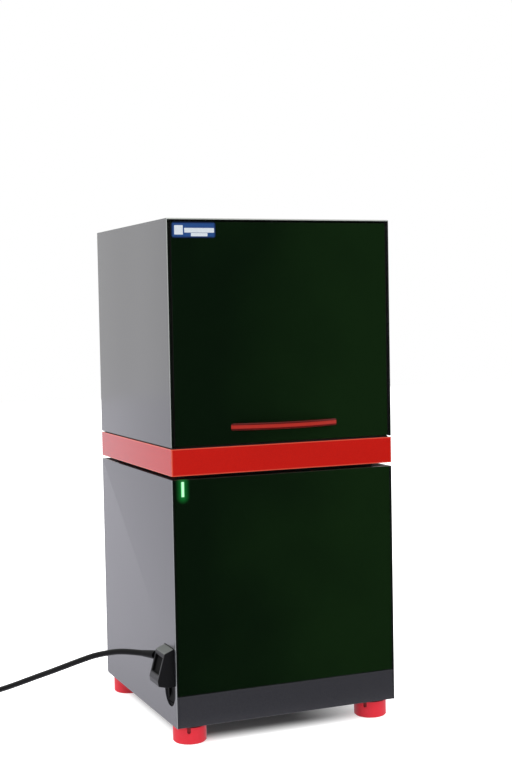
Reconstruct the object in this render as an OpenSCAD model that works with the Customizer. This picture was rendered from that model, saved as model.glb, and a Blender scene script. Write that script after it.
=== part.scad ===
// Real-time PCR system: a tower with a lower housing, a red band and an upper hood with a flap door.
// Millimetres, +Z up, front towards -Y. The origin is the middle of the footprint at table level.

/* [Body] */
// Width of the tower
body_w = 272; // [266:1:300]
// Depth of the tower, front glass to rear wall
body_d = 272; // [266:1:300]
// Height of the lower housing, from the base sheet to the shadow gap
lower_h = 276.5; // [270:0.5:300]
// Height of the shadow gap over the lower housing
neck_h = 4; // [2:0.5:8]
// How far the neck is set in from the walls
neck_inset = 16; // [10:1:20]
// Height of the red band
band_h = 30; // [24:1:40]
// Wall of the red band
band_t = 8; // [5:0.5:12]
// Thickness of the upper deck sheet, seen as a dark line over the band
deck_t = 1.5; // [1:0.5:3]
// Height of the hood
hood_h = 251; // [246:1:280]
// Sheet thickness of the casings
sheet_t = 2.5; // [1.5:0.5:3]
// Thickness of the front glass panels
glass_t = 4; // [3:0.5:5]
// Height of the base strip below the lower glass
strip_h = 35; // [25:1:50]
// Gap between the base strip and the lower glass
glass_gap = 0.5; // [0.3:0.1:1]
// Radius of the lower housing's bottom rear edge
edge_r = 6; // [3:0.5:8]

/* [Feet] */
// Diameter of a foot
foot_d = 38; // [30:1:44]
// Height of a foot
foot_h = 21; // [15:1:30]
// Distance of a foot's centre from the walls
foot_inset = 22; // [20:1:40]
// Width of the small grip notch in a foot's side
foot_notch_w = 4; // [3:0.5:5]
// Depth of the screw pocket in a foot's sole
foot_pocket = 8; // [5:1:10]

/* [Door] */
// Distance of the hinge pins behind the glass's outer face
pin_back = 3; // [2.8:0.1:3.2]
// Height of the glass over the hinge pins
pin_drop = 6; // [5:0.5:8]
// Clearance around the door
door_gap = 0.7; // [0.5:0.1:1.2]
// Width of the frame bars behind the glass
frame_bar = 16; // [12:1:22]
// Depth of the frame behind the glass
frame_depth = 9; // [6:0.5:12]
// Radius of a hinge pin
pin_r = 1.5; // [1:0.1:1.6]

/* [Grip strip] */
// Length of the red grip strip
grip_l = 130; // [100:1:150]
// How far its middle stands out of the glass
grip_out = 13; // [12:0.5:18]
// Height of the strip
grip_h = 8; // [6:0.5:10]
// Thickness of the strip
grip_t = 4.5; // [3.5:0.5:5]
// Height of its centre line over the door's lower edge
grip_z = 19; // [14:0.5:24]

/* [Status light] */
// Width of the light bar
light_w = 3.5; // [2:0.5:5]
// Height of the light bar
light_h = 16.5; // [10:0.5:20]
// Distance of the bar's middle from the left wall
light_x = 12.4; // [10:0.1:20]
// Distance of the bar's top from the glass's top edge
light_drop = 2.5; // [2:0.5:8]

/* [Inlet] */
// Width of the slot in the left wall
slot_w = 35; // [34:0.5:40]
// Height of the slot
slot_h = 68; // [66:0.5:74]
// Distance of the slot from the front corner
slot_front = 5; // [5:0.5:10]
// Height of the slot's lowest point over the base sheet
slot_up = 20.5; // [15:0.5:30]
// Radius of the slot's upper corners
slot_r = 3; // [2:0.5:5]
// Width of the rocker key
rocker_w = 14; // [12:0.5:16]
// Height of the rocker key
rocker_h = 20; // [18:0.5:22]

/* [Sample block] */
// Columns of wells
well_cols = 12; // [4:1:12]
// Rows of wells
well_rows = 8; // [4:1:8]
// Well spacing of the standard plate
well_pitch = 9; // [8.5:0.1:9]
// Width of the sample block
block_w = 124; // [118:1:128]
// Depth of the sample block
block_d = 84; // [82:1:88]
// Height of the sample block
block_h = 22; // [20:1:26]
// Share of the spare depth that lies in front of the block
block_share = 0.275; // [0:0.025:1]

/* [Cooling] */
// Width of the heat sink
sink_w = 140; // [134:1:150]
// Depth of the heat sink
sink_d = 120; // [114:1:126]
// Height of the cooling fins
fin_h = 42; // [30:1:44]
// Spacing of the fins
fin_pitch = 6; // [5:0.5:8]
// Thickness of a fin
fin_t = 1.5; // [1:0.1:2]
// Size of the fan under the heat sink
block_fan = 119; // [100:1:119]
// Size of the rear fan
rear_fan = 80; // [70:1:80]

/* [Lid and shuttle] */
// Travel of the heated lid
lid_travel = 27; // [20:1:27]
// Diameter of a guide rod
rod_d = 10; // [8:0.5:12]
// Distance between the guide rods
rod_gap = 144; // [140:1:150]
// Diameter of the lifting screw
screw_d = 8; // [6:0.5:10]
// Travel of the optics shuttle to each side
shuttle_travel = 49.5; // [40:0.5:49.5]
// Pitch radius of the belt pulleys
pulley_r = 8; // [7:0.5:8]
// Radius of the filter wheel
wheel_r = 34; // [30:0.5:34]
// Number of colour modules in the wheel
wheel_slots = 6; // [4:1:6]

/* [Mains lead] */
// Diameter of the mains cord
cord_d = 6.8; // [6:0.1:8]
// Middle radius of the stored coil
coil_r = 39; // [36:1:44]
// Turns of the coil beside each other
coil_cols = 3; // [2:1:3]
// Turns of the coil on each other
coil_rows = 2; // [2:1:3]

/* [Hidden] */
fine = 48;
hair = 0.3;
glass_in = 0.5;
run_fit = 0.05;
cut = 1;

// Planes and levels
left = -body_w / 2;
right = body_w / 2;
front = (grip_out - glass_in - body_d) / 2;
rear = front + body_d;
mid_y = (front + rear) / 2;
base_z = foot_h;
lower_top = base_z + lower_h;
band_z = lower_top + neck_h;
deck_z = band_z + band_h;
hood_z = deck_z + deck_t;
top_z = hood_z + hood_h;
roof_z = top_z - sheet_t;
strip_top = base_z + strip_h;
glass_z = strip_top + glass_gap;
foot_x = body_w / 2 - foot_inset;
foot_y = body_d / 2 - foot_inset;

// Sample block, its cooling and the well field: the heat sink clears the neck, the gantry the rear wall
neck_wall = 6;
gantry_back = 20;
gantry_d = 78;
need_front = neck_inset + neck_wall + hair + sink_d / 2;
need_rear = block_d / 2 + gantry_back + gantry_d + sheet_t + hair;
block_c = front + need_front + block_share * (body_d - need_front - need_rear);
tile = 39;
tile_gap = 2;
seat_t = 3.5;
sink_base = 8;
sink_z = deck_z - 4.5;
peltier_z = sink_z;
block_z = peltier_z + seat_t;
block_top = block_z + block_h;
fins_z = sink_z - sink_base - fin_h;
fan_t = 25;
seal_w = 4;
well_top_r = 2.9;
well_low_r = 1.3;
well_depth = 15;

// Door
door_front = front + glass_in;
swing_gap = 0.5;
hinge_y = door_front + pin_back;
hinge_z = roof_z - swing_gap - norm([pin_back, pin_drop]);
door_w = body_w - 2 * sheet_t - 2 * door_gap;
door_low = hood_z + door_gap;
door_top = hinge_z + pin_drop;
frame_top = hinge_z + 4;
cheek_t = 1.5;
stud_r = pin_back - 0.4;
stud_t = door_gap - 0.2;
catch_w = 24;
catch_x = body_w / 2 - 41;
catch_y = door_front + glass_t + frame_depth + hair;
grip_c = door_low + grip_z;
grip_R = (grip_l * grip_l / 4 + grip_out * grip_out) / (2 * grip_out);

// Lid carriage, shuttle and gantry
lid_z = block_top + lid_travel + hair + 1;
lid_t = 8;
rod_back = 43;
carriage_z = lid_z + lid_t;
carriage_t = 6;
carriage_rim = 28;
carriage_lap = 10;
carriage_tail = 13;
nut_wall = 6;
nut_h = 14;
on_carriage = carriage_z + carriage_t;
rod_x = rod_gap / 2;
rod_y = block_c + block_d / 2 + rod_back;
bush_d = rod_d + 12;
bush_h = 26;
rail_y = block_c + block_d / 2 + 8;
rail_h = 8;
rail_w = 10;
belt_y = rail_y + 10.5;
belt_t = 1.2;
pulley_x = block_w / 2 + 16;
pulley_z = on_carriage + 9;
pulley_h = 8;
small_motor = 28;
belt_fit = 0.15;
belt_front = belt_y - pulley_r - belt_fit - belt_t;
head_w = 16;
head_l = block_d - 4;
rail_l = 2 * shuttle_travel + head_w + 11;
gantry_x = rod_x + 33;
gantry_t = 3;
gantry_y = block_c + block_d / 2 + gantry_back;
gantry_foot = 15;
window_w = 40;
window_h = 110;
window_up = 90;
shelf_up = 190;
shelf_z = hood_z + shelf_up;
shelf_top = shelf_z + gantry_t;
lift_motor_w = 42;
lift_motor_h = 38;
wheel_x = -58;
wheel_y = gantry_y + wheel_r + 8;
slot_ring = 22;
filter_r = 7;
wheel_t = 12;
wheel_z = shelf_top + 6;
wheel_pin_r = 3;

// Inlet, connector and switch
slot_y = front + slot_front + slot_w / 2;
slot_low = base_z + slot_up;
slot_top = slot_low + slot_h;
inlet_depth = 24;
inlet_in = 1.5;
socket_w = 24.6;
socket_h = 16.8;
socket_depth = 15;
socket_z = slot_top - 14;
socket_fit = 0.3;
rocker_z = slot_low + 14.5;
rocker_r = 11;
rocker_x = left + 9;
plug_w = 31;
plug_shift = 0.75;
plug_rear = slot_y + plug_shift + plug_w / 2;
plug_shoulder = [-10.5, slot_top - 5];
plug_toe = [-19, slot_top - 35];
plug_rim = 3.5;
recess_from = 4.5;
recess_to = 25;
recess_deep = 3.5;
blade = [2, 4];
blade_gap = 7;

// Fans
rear_fan_x = body_w / 2 - 76;
rear_fan_z = base_z + 70;
rear_hole_r = rear_fan / 2 - 3;
block_fan_z = fins_z - fan_t - hair;
hub_r = 19;

// Lamp and detector on the shelf
lamp = [62, 30, 34];
lamp_x = 30;
lamp_y = gantry_y + 6;
lamp_fins = 9;
detector_r = 14;
detector_l = 60;
detector_y = gantry_y + 56;

// Power supply, main board and data socket
supply = [110, 110, 60];
supply_gap = 4.5;
supply_at = [left + 41, rear - sheet_t - fan_t - supply_gap - supply[1], base_z + 2];
supply_wall = 3;
supply_slots = 9;
slot_pitch = 10.5;
board_t = 1.6;
board_l = body_d - 72;
board_h = 200;
board_in = 12;
board_at = [right - sheet_t - board_in, front + 45, base_z + 2];
chip_t = 6;
data_size = [13.4, 16, 11.4];
data_at = [left + 66.3, rear - sheet_t - 14, base_z + 40.3];

// Mains lead: the run from the connector to the coil, points chosen by hand
relief_l = 20;
relief_at = [-145.5, -91, 96.7];
relief_to = [-155.5, -73.7, 95.9];
run_points = [[-155.5, -73.7, 95.9], [-161, -64.3, 95.2], [-168.5, -51.5, 94.1], [-176, -39, 92.2],
    [-184.5, -25, 88.4], [-195.5, -8, 82.5], [-207, 9, 74.5], [-220, 31, 64], [-233, 53, 53.5],
    [-246, 76, 43], [-260, 99, 32], [-272, 120, 22.5], [-284, 141, 14], [-296, 161, 8],
    [-308, 180, 4.8], [-322, 199, 3.8]];
tail_points = [[-401.7, 131, 12], [-401.7, 140, 11.8], [-401.7, 150, 11.2], [-401.7, 160, 10.5]];
coil_at = [-355.9, 168.2];
cord_steps = 2;
cord_sides = 8;
coil_in = coil_r - cord_d * coil_cols / 2;
coil_out = coil_r + cord_d * coil_cols / 2;
plug_y = tail_points[0][1] - 14;
plug_x = tail_points[0][0];
plug_r = 12;

// Helpers
module ring(outer, inner, h) {
    difference() {
        cylinder(r = outer, h = h, $fn = fine);
        translate([0, 0, -cut]) cylinder(r = inner, h = h + 2 * cut, $fn = fine);
    }
}
module soft_rect(w, d, r) {
    square([w - 2 * r, d], center = true);
    square([w, d - 2 * r], center = true);
    for (sx = [-1, 1], sy = [-1, 1]) translate([sx * (w / 2 - r), sy * (d / 2 - r)]) circle(r = r, $fn = 32);
}
module on_corners(dx, dy) {
    for (sx = [-1, 1], sy = [-1, 1]) translate([sx * dx, sy * dy, 0]) children();
}
module along_y() { rotate([-90, 0, 0]) children(); }
module slot_outline(grow = 0) {
    w = slot_w + 2 * grow;
    translate([slot_y, slot_low + slot_w / 2]) circle(d = w, $fn = fine);
    translate([slot_y - w / 2, slot_low + slot_w / 2]) square([w, slot_h - slot_w / 2 - slot_r]);
    translate([slot_y - w / 2 + slot_r, slot_low + slot_w / 2])
        square([w - 2 * slot_r, slot_h - slot_w / 2 + grow]);
    for (s = [-1, 1]) translate([slot_y + s * (w / 2 - slot_r), slot_top + grow - slot_r])
        circle(r = slot_r, $fn = 32);
}
// Turns an outline drawn in y and z into a solid that runs from x0 towards +X
module from_side(x0, depth) {
    translate([x0, 0, 0]) rotate([90, 0, 90]) linear_extrude(depth) children();
}
module vents(x, z, w, rows, pitch) {
    for (i = [0:rows - 1]) translate([x - w / 2, rear - sheet_t - cut, z + i * pitch])
        cube([w, sheet_t + 2 * cut, 3]);
}

module casing_holes(heights, r) {
    for (x = [left + 14, right - 14], z = heights)
        translate([x, rear - 2 * sheet_t - 6, z]) along_y() cylinder(r = r, h = 2 * sheet_t + 8, $fn = 24);
}

// Lower housing
module base_plate() {
    color("dimgray") translate([0, mid_y, base_z]) difference() {
        translate([0, (glass_in + glass_t - sheet_t) / 2, 0]) linear_extrude(2)
            soft_rect(body_w - 2 * sheet_t - hair, body_d - glass_in - glass_t - sheet_t - 2 * hair, 2);
        for (i = [-4:4]) translate([i * 12 - 3, -30, -cut]) cube([6, 70, 4]);
        on_corners(body_w / 2 - foot_inset, body_d / 2 - foot_inset) translate([0, 0, -cut])
            cylinder(r = 2.6, h = 4, $fn = 24);
    }
}
module lower_casing() {
    color("#56585c") difference() {
        translate([0, mid_y, base_z]) linear_extrude(lower_h) difference() {
            soft_rect(body_w, body_d, 1.5);
            soft_rect(body_w - 2 * sheet_t, body_d - 2 * sheet_t, 1);
        }
        translate([left + sheet_t, front - cut, base_z - cut])
            cube([body_w - 2 * sheet_t, sheet_t + 2 * cut, lower_h + 2 * cut]);
        from_side(left - cut, sheet_t + 2 * cut) slot_outline();
        translate([rear_fan_x, rear - sheet_t - cut, rear_fan_z]) along_y()
            cylinder(r = rear_hole_r, h = sheet_t + 2 * cut, $fn = fine);
        vents(-50, base_z + 170, 120, 8, 9);
        translate([data_at[0] - hair, rear - sheet_t - cut, data_at[2] - hair])
            cube([data_size[0] + 2 * hair, sheet_t + 2 * cut, data_size[2] + 2 * hair]);
        from_side(left - cut, body_w + 2 * cut) difference() {
            translate([rear - edge_r, base_z - cut]) square([edge_r + cut, edge_r + cut]);
            translate([rear - edge_r, base_z + edge_r]) circle(r = edge_r, $fn = fine);
        }
        casing_holes([base_z + 14, lower_top - 14], 3);
    }
}
module base_strip() {
    color("#3b3b40") translate([left + sheet_t + hair / 2, front, base_z]) difference() {
        cube([body_w - 2 * sheet_t - hair, glass_in + glass_t, strip_h]);
        translate([2, 2, -cut]) cube([body_w - 2 * sheet_t - hair - 4, glass_t, strip_h - 2 + cut]);
    }
}
module lower_glass() {
    color("#0d160e") difference() {
        translate([left + sheet_t + hair / 2, door_front, glass_z])
            cube([body_w - 2 * sheet_t - hair, glass_t, lower_top - glass_z]);
        translate([left + light_x - light_w / 2, front - cut, lower_top - light_drop - light_h])
            cube([light_w, glass_t + 3, light_h]);
    }
}
module status_light() {
    color("#b8ffc8") translate([left + light_x - light_w / 2, door_front, lower_top - light_drop - light_h]) {
        cube([light_w, glass_t + 6, light_h]);
        translate([-3, glass_t, -1]) cube([light_w + 6, 6, light_h + 1]);
    }
}
module lower_deck() {
    color("dimgray") difference() {
        translate([left + sheet_t + hair, door_front + glass_t + hair, lower_top - 2])
            cube([body_w - 2 * sheet_t - 2 * hair, body_d - glass_in - glass_t - sheet_t - 2 * hair, 2]);
        translate([-sink_w / 2 - 14, block_c - sink_d / 2 - 4, lower_top - 3])
            cube([sink_w + 28, sink_d + 8, 4]);
    }
}
module neck() {
    color("#26262a") translate([0, mid_y, lower_top]) linear_extrude(neck_h) difference() {
        soft_rect(body_w - 2 * neck_inset, body_d - 2 * neck_inset, 4);
        soft_rect(body_w - 2 * (neck_inset + neck_wall), body_d - 2 * (neck_inset + neck_wall), 2);
    }
}
module band() {
    color("#c92a10") translate([0, mid_y, band_z]) {
        linear_extrude(band_h) difference() {
            soft_rect(body_w, body_d, 1.5);
            soft_rect(body_w - 2 * band_t, body_d - 2 * band_t, 3);
        }
        linear_extrude(3) difference() {
            soft_rect(body_w - 2 * band_t + 1, body_d - 2 * band_t + 1, 3);
            soft_rect(body_w - 2 * (neck_inset + neck_wall), body_d - 2 * (neck_inset + neck_wall), 2);
        }
    }
}
module deck() {
    color("#303034") translate([0, mid_y, deck_z]) linear_extrude(deck_t) difference() {
        soft_rect(body_w - 6, body_d - 6, 2);
        translate([0, block_c - mid_y]) square([block_w + 2, block_d + 2], center = true);
    }
}
module foot(x, y, turn) {
    color("#e7303f") translate([x, y, 0]) rotate(turn) difference() {
        union() {
            translate([0, 0, 1.5]) cylinder(d = foot_d, h = foot_h - 3.5, $fn = fine);
            cylinder(d1 = foot_d - 3, d2 = foot_d, h = 1.5, $fn = fine);
            translate([0, 0, foot_h - 2]) cylinder(d = foot_d - 5, h = 2, $fn = fine);
        }
        translate([0, 0, -cut]) cylinder(r = 7, h = foot_pocket + cut, $fn = fine);
        translate([0, 0, -cut]) cylinder(r = 2.6, h = foot_h + 2 * cut, $fn = fine);
        translate([0, -foot_d / 2 - cut, foot_h - 6.5]) along_y()
            cylinder(d = foot_notch_w, h = 1.8 + cut, $fn = 24);
        translate([-foot_notch_w / 2, -foot_d / 2 - cut, foot_h - 6.5]) cube([foot_notch_w, 1.8 + cut, 7]);
    }
}
module foot_front_left() { foot(-foot_x, mid_y - foot_y, -22); }
module foot_front_right() { foot(foot_x, mid_y - foot_y, -45); }
module foot_rear_left() { foot(-foot_x, mid_y + foot_y, 70); }
module foot_rear_right() { foot(foot_x, mid_y + foot_y, 150); }
module foot_screws() {
    color("silver") translate([0, mid_y, 0]) on_corners(foot_x, foot_y) {
        translate([0, 0, foot_pocket - 3.2]) cylinder(r = 4.5, h = 3.2, $fn = 32);
        translate([0, 0, foot_pocket - cut]) cylinder(r = 2.5, h = base_z + 8 - foot_pocket, $fn = 24);
    }
}

// Inlet and switch in the left wall
module power_inlet() {
    color("#141416") difference() {
        union() {
            from_side(left + inlet_in, inlet_depth) slot_outline(-hair);
            from_side(left + sheet_t + hair, 2) translate([slot_y - slot_w / 2 + 0.5, slot_low - 4])
                square([slot_w - 1, slot_h + 8]);
        }
        translate([left + inlet_in - cut, slot_y - socket_w / 2, socket_z - socket_h / 2])
            cube([socket_depth + cut, socket_w, socket_h]);
        translate([left + inlet_in - cut, slot_y - rocker_w / 2 - hair, rocker_z - rocker_h / 2 - 0.6])
            cube([13 + cut, rocker_w + 2 * hair, rocker_h + 1.2]);
        translate([rocker_x, slot_y, rocker_z]) along_y()
            cylinder(r = 1.5, h = rocker_w + 4, center = true, $fn = 24);
    }
    color("silver") for (s = [-1, 0, 1])
        translate([left + inlet_in + 3, slot_y + s * blade_gap - blade[0] / 2,
            socket_z - blade[1] / 2 + (s == 0 ? 2 : -2)])
            cube([socket_depth - 2.5, blade[0], blade[1]]);
}
module rocker_switch() {
    color("#1a1a1c") intersection() {
        union() {
            translate([rocker_x - 3, slot_y - rocker_w / 2, rocker_z - 3]) cube([6, rocker_w, 6]);
            translate([rocker_x, slot_y, rocker_z]) along_y()
                cylinder(r = 1.45, h = rocker_w + 3, center = true, $fn = 24);
            translate([0, slot_y - rocker_w / 2, 0]) rotate([90, 0, 180]) linear_extrude(rocker_w)
                polygon([[-rocker_x + 1, rocker_z - rocker_h / 2],
                    [-rocker_x + 7.8, rocker_z - rocker_h / 2 + 1],
                    [-rocker_x + 5.2, rocker_z], [-rocker_x + 5.8, rocker_z + rocker_h / 2 - 0.6],
                        [-rocker_x + 1, rocker_z + rocker_h / 2]]);
        }
        translate([rocker_x - 15, slot_y - 12, rocker_z - rocker_h / 2]) cube([20, 24, rocker_h]);
    }
}
module data_socket() {
    color("silver") translate(data_at) difference() {
        cube(data_size);
        translate([2, 5, 2]) cube([data_size[0] - 4, data_size[1], data_size[2] - 4]);
    }
}

// Cooling and electronics
module heat_sink() {
    fins = floor((sink_w - fin_t) / fin_pitch);
    color("#b9bcc0") translate([0, block_c, 0]) {
        translate([-sink_w / 2, -sink_d / 2, sink_z - sink_base]) cube([sink_w, sink_d, sink_base]);
        for (i = [0:fins])
            translate([-fins * fin_pitch / 2 + i * fin_pitch - fin_t / 2, -sink_d / 2, fins_z])
            cube([fin_t, sink_d, fin_h + cut]);
        on_corners(sink_w / 2 + 3, sink_d / 2 - 10) translate([0, 0, sink_z - sink_base])
            cylinder(r = 6, h = deck_z - sink_z + sink_base, $fn = 32);
    }
}
module peltier_modules() {
    color("#e8e4da") for (i = [-1:1], j = [-1, 1])
        translate([i * (tile + tile_gap) - tile / 2, block_c + j * (tile + tile_gap) / 2 - tile / 2,
            peltier_z]) cube([tile, tile, seat_t]);
}
module sample_block() {
    color("#c9cbce") difference() {
        translate([-block_w / 2, block_c - block_d / 2, block_z]) cube([block_w, block_d, block_h]);
        for (i = [0:well_cols - 1], j = [0:well_rows - 1])
            translate([(i - (well_cols - 1) / 2) * well_pitch,
                block_c + (j - (well_rows - 1) / 2) * well_pitch, block_top - well_depth])
                cylinder(r1 = well_low_r, r2 = well_top_r, h = well_depth + 0.01, $fn = 24);
    }
}
module block_seal() {
    color("#202022") translate([0, block_c, hood_z]) linear_extrude(4) difference() {
        soft_rect(block_w + 2 * seal_w + 1, block_d + 2 * seal_w + 1, 3);
        square([block_w + 1, block_d + 1], center = true);
    }
}
module fan_body(size) {
    difference() {
        linear_extrude(fan_t) soft_rect(size, size, 5);
        translate([0, 0, -cut]) cylinder(r = size / 2 - 3, h = fan_t + 2 * cut, $fn = fine);
        on_corners(size / 2 - 5, size / 2 - 5) translate([0, 0, -cut])
            cylinder(r = 2, h = fan_t + 2 * cut, $fn = 24);
    }
    cylinder(r = hub_r - 1, h = 4, $fn = fine);
    translate([0, 0, 3]) cylinder(r = 2, h = fan_t - 8, $fn = 24);
    for (a = [45:90:315]) rotate(a) translate([hub_r - 3, -2.5, 0]) cube([size / 2 - hub_r + 1.5, 5, 3]);
}
module fan_blades(size, blades = 7) {
    difference() {
        cylinder(r = hub_r, h = fan_t - 7, $fn = fine);
        translate([0, 0, -cut]) cylinder(r = 2 + run_fit, h = fan_t - 8, $fn = 24);
    }
    for (i = [0:blades - 1]) rotate(i * 360 / blades) translate([hub_r - 1, 0, (fan_t - 7) / 2])
        rotate([38, 0, 0])
        translate([0, -1, -(fan_t - 9) / 2]) cube([size / 2 - 5 - hub_r, 1.8, fan_t - 9]);
}
module block_fan_frame() { color("#1b1b1d") translate([0, block_c, block_fan_z]) fan_body(block_fan); }
module block_fan_rotor() { color("#2c2c2f") translate([0, block_c, block_fan_z + 5]) fan_blades(block_fan); }
module at_rear_fan()
    { translate([rear_fan_x, rear - sheet_t - hair, rear_fan_z]) rotate([90, 0, 0]) children(); }
module rear_fan_frame() { color("#1b1b1d") at_rear_fan() fan_body(rear_fan); }
module rear_fan_rotor() { color("#2c2c2f") at_rear_fan() translate([0, 0, 5]) fan_blades(rear_fan); }
module rear_fan_guard() {
    color("silver") translate([rear_fan_x, rear, rear_fan_z]) rotate([90, 0, 0]) {
        for (r = [12:8:rear_hole_r - 1]) ring(r + 1, r - 1, sheet_t);
        for (a = [0:45:135]) rotate(a) translate([-rear_hole_r + hair, -1, 0])
            cube([2 * rear_hole_r - 2 * hair, 2, sheet_t - 0.5]);
    }
}
module power_supply() {
    color("#9a9da1") translate(supply_at) difference() {
        cube(supply);
        for (i = [0:supply_slots - 1]) translate([10 + i * slot_pitch, -cut, supply[2] / 4])
            cube([4, supply[1] + 2 * cut, supply[2] / 2]);
        translate([supply_wall, supply_wall, supply_wall])
            cube([supply[0] - 2 * supply_wall, supply[1] - 2 * supply_wall, supply[2] - 2 * supply_wall]);
    }
}
module main_board() {
    color("#1f5a34") translate(board_at) cube([board_t, board_l, board_h]);
    color("#222225") translate([board_at[0] - chip_t, board_at[1], board_at[2]]) {
        translate([0, board_l / 5, board_h / 5]) cube([chip_t, 40, 40]);
        translate([0, board_l * 3 / 5, board_h * 3 / 10]) cube([chip_t, 28, 28]);
        translate([0, board_l * 3 / 10, board_h * 13 / 20]) cube([chip_t, 60, 20]);
    }
    color("silver") for (y = [4, board_l - 16])
        translate([board_at[0] + board_t, board_at[1] + y, board_at[2]])
        cube([board_in - board_t - hair, 12, 8]);
}

// Hood and what it holds
module hood() {
    color("#56585c") difference() {
        translate([0, mid_y, hood_z]) linear_extrude(hood_h) soft_rect(body_w, body_d, 1.5);
        translate([left + sheet_t, front - cut, hood_z - cut])
            cube([body_w - 2 * sheet_t, body_d - sheet_t + cut, hood_h - sheet_t + cut]);
        vents(0, hood_z + 150, 160, 6, 9);
        casing_holes([hood_z + 14, top_z - 14], 3);
    }
    color("#56585c") for (x = [left + 1, right - 1 - 12])
        translate([x, front + 20, hood_z]) cube([12, body_d - 21, sheet_t]);
}
module gantry() {
    color("#8d9095") difference() {
        union() {
            for (s = [-1, 1]) translate([s * gantry_x - gantry_t / 2, gantry_y, hood_z])
                cube([gantry_t, gantry_d, shelf_top - hood_z]);
            translate([-gantry_x - gantry_t / 2, gantry_y, shelf_z])
                cube([2 * gantry_x + gantry_t, gantry_d, gantry_t]);
            for (s = [-1, 1])
                translate([s * (gantry_x - gantry_foot / 2) - gantry_foot / 2, gantry_y, hood_z])
                cube([gantry_foot, gantry_d, 2]);
        }
        for (s = [-1, 1]) translate([s * gantry_x, gantry_y + gantry_d / 2, hood_z + window_up])
            rotate([90, 0, 90])
            linear_extrude(10, center = true) soft_rect(window_w, window_h, 10);
        translate([0, rod_y, shelf_z - cut])
            cylinder(r = screw_d / 2 + 3, h = gantry_t + 2 * cut, $fn = fine);
        translate([wheel_x, wheel_y, shelf_z - cut]) cylinder(r = 8, h = gantry_t + 2 * cut, $fn = fine);
    }
}
module guide_rods() {
    color("#d9dbde") for (s = [-1, 1]) translate([s * rod_x, rod_y, hood_z]) {
        cylinder(d = rod_d, h = shelf_z - hood_z, $fn = fine);
        ring(rod_d / 2 + 5, rod_d / 2 - 0.5, 3);
    }
}
module lift_motor() {
    color("#35363a") translate([0, rod_y, shelf_top]) difference() {
        linear_extrude(lift_motor_h) soft_rect(lift_motor_w, lift_motor_w, 4);
        translate([0, 0, -cut]) cylinder(r = screw_d / 2 + run_fit, h = lift_motor_h + 2 * cut, $fn = fine);
        translate([-30, -30, 10]) difference() {
            cube([60, 60, 1]);
            translate([30 - lift_motor_w / 2 + 1, 30 - lift_motor_w / 2 + 1, -cut])
                cube([lift_motor_w - 2, lift_motor_w - 2, 3]);
        }
    }
}
module wheel_motor() {
    color("#35363a") translate([wheel_x, wheel_y, 0]) {
        translate([0, 0, shelf_z - 26]) linear_extrude(26) soft_rect(small_motor, small_motor, 3);
        translate([0, 0, shelf_z - cut]) cylinder(r = 6, h = 5 + cut, $fn = 32);
        translate([0, 0, shelf_z - cut]) cylinder(r = wheel_pin_r, h = wheel_z + wheel_t - shelf_z, $fn = 32);
    }
}
module filter_wheel() {
    color("#3a3c41") translate([wheel_x, wheel_y, wheel_z]) {
        difference() {
            union() {
                cylinder(r = wheel_r, h = wheel_t, $fn = 64);
                cylinder(r = 9, h = wheel_t + 4, $fn = fine);
            }
            translate([0, 0, -cut]) cylinder(r = wheel_pin_r + run_fit, h = wheel_t + cut, $fn = 32);
            for (i = [0:wheel_slots - 1]) rotate(i * 360 / wheel_slots) translate([slot_ring, 0, -cut])
                cylinder(r = filter_r, h = wheel_t + 2 * cut, $fn = 32);
        }
        color("#6a5acd") for (i = [0:wheel_slots - 1]) rotate(i * 360 / wheel_slots)
            translate([slot_ring, 0, 3]) cylinder(r = filter_r, h = 3, $fn = 32);
    }
}
module lamp_module() {
    color("#4a4c50") translate([lamp_x, lamp_y, shelf_top]) {
        cube(lamp);
        for (i = [0:lamp_fins - 1]) translate([2 + i * (lamp[0] - 6) / (lamp_fins - 1), 2, lamp[2] - cut])
            cube([2, lamp[1] - 4, 13]);
    }
}
module detector() {
    color("#77797e") translate([lamp_x, detector_y, shelf_top]) {
        translate([0, 0, detector_r + 2]) rotate([0, 90, 0])
            cylinder(r = detector_r, h = detector_l, $fn = fine);
        for (x = [8, detector_l - 14]) translate([x, -detector_r, 0])
            cube([6, 2 * detector_r, detector_r - 2]);
    }
}
module hinge_studs() {
    color("#a8abb0") for (s = [-1, 1])
        translate([s * (body_w / 2 - sheet_t), hinge_y, hinge_z]) rotate([0, -90 * s, 0]) {
            cylinder(r = stud_r, h = stud_t, $fn = 32);
            cylinder(r = pin_r, h = door_gap + cheek_t - run_fit, $fn = 32);
        }
}
module door_catch() {
    color("#3a3a3d") for (s = [-1, 1]) translate([s * catch_x - catch_w / 2, catch_y, hood_z])
        cube([catch_w, 10, 12]);
}
module door_frame() {
    color("#1d1e20") difference() {
        union() {
            translate([-door_w / 2, door_front + glass_t, door_low])
                cube([door_w, frame_depth, frame_top - door_low]);
            for (s = [-1, 1])
                translate([s * (door_w - cheek_t) / 2 - cheek_t / 2, door_front + hair, door_low])
                cube([cheek_t, glass_t, door_top - door_low]);
        }
        translate([-door_w / 2 + frame_bar, door_front, door_low + frame_bar])
            cube([door_w - 2 * frame_bar, glass_t + frame_depth + cut, frame_top - door_low - 2 * frame_bar]);
        for (s = [-1, 1]) translate([s * door_w / 2, hinge_y, hinge_z]) rotate([0, 90, 0])
            cylinder(r = pin_r + run_fit, h = 2 * cheek_t, center = true, $fn = 32);
    }
}
module door_glass() {
    color("#0d160e") translate([-door_w / 2 + cheek_t, door_front, door_low])
        cube([door_w - 2 * cheek_t, glass_t, door_top - door_low]);
}
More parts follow.
